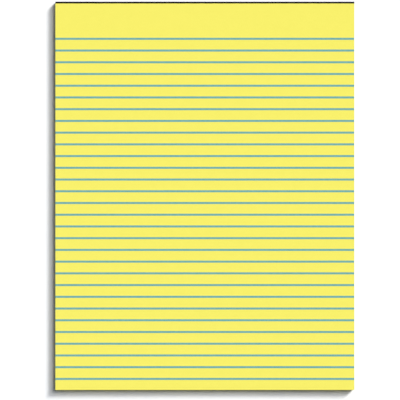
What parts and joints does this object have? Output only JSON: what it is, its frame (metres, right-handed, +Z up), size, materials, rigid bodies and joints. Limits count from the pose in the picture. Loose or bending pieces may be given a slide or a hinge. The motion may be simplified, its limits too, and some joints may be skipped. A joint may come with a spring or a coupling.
{
  "type": "legal pad",
  "caption": "Ruled yellow writing pad: a block of loose sheets on a stiff backing board, bound along the head by a film of black padding glue.",
  "frame": {"origin": "on the surface that the pad lies on, under the middle of the pad, glue film included", "axes": "+X across the sheet to the right of the reader, +Y from the tail to the glued head, +Z up out of the writing face"},
  "size_m": [0.216, 0.2804, 0.0058],
  "materials": {
    "chipboard": "matte",
    "paper": "matte",
    "padding_glue": "satin",
    "rule_ink": "matte"
  },
  "bodies": {
    "root": {"backing_board": "chipboard", "sheet_block": "paper", "glue_binding": "padding_glue", "printed_rules": "rule_ink"}
  },
  "joints": []
}
